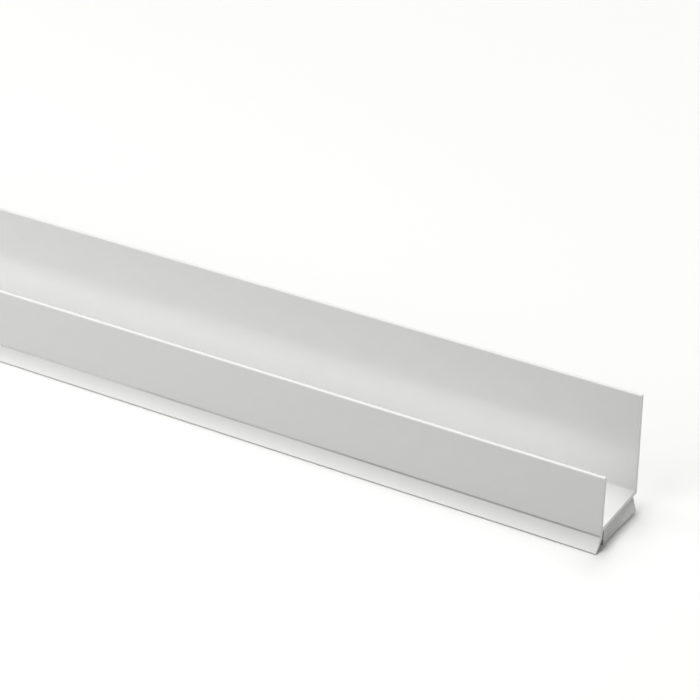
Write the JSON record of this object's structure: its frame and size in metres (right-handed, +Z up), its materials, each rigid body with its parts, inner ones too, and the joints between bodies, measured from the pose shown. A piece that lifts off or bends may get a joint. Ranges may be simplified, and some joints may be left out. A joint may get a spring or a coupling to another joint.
{
  "type": "edging profile",
  "caption": "J-shaped plastic edging profile for a board's edge, with a tall back leg, a shorter gripping front leg, a splayed lip and a foam sealing strip under the base.",
  "frame": {"origin": "centre of the bounding box in X and Y, on the plane that the foam's underside rests on and that the lip's tip just clears", "axes": "+X along the stock, +Y from the front leg towards the tall back leg, +Z up out of the pocket's mouth"},
  "size_m": [2.5, 0.0166, 0.0244],
  "materials": {
    "rigid_pvc": "satin",
    "foam": "matte"
  },
  "bodies": {
    "root": {"edging_profile": "rigid_pvc", "sealing_strip": "foam"}
  },
  "joints": []
}
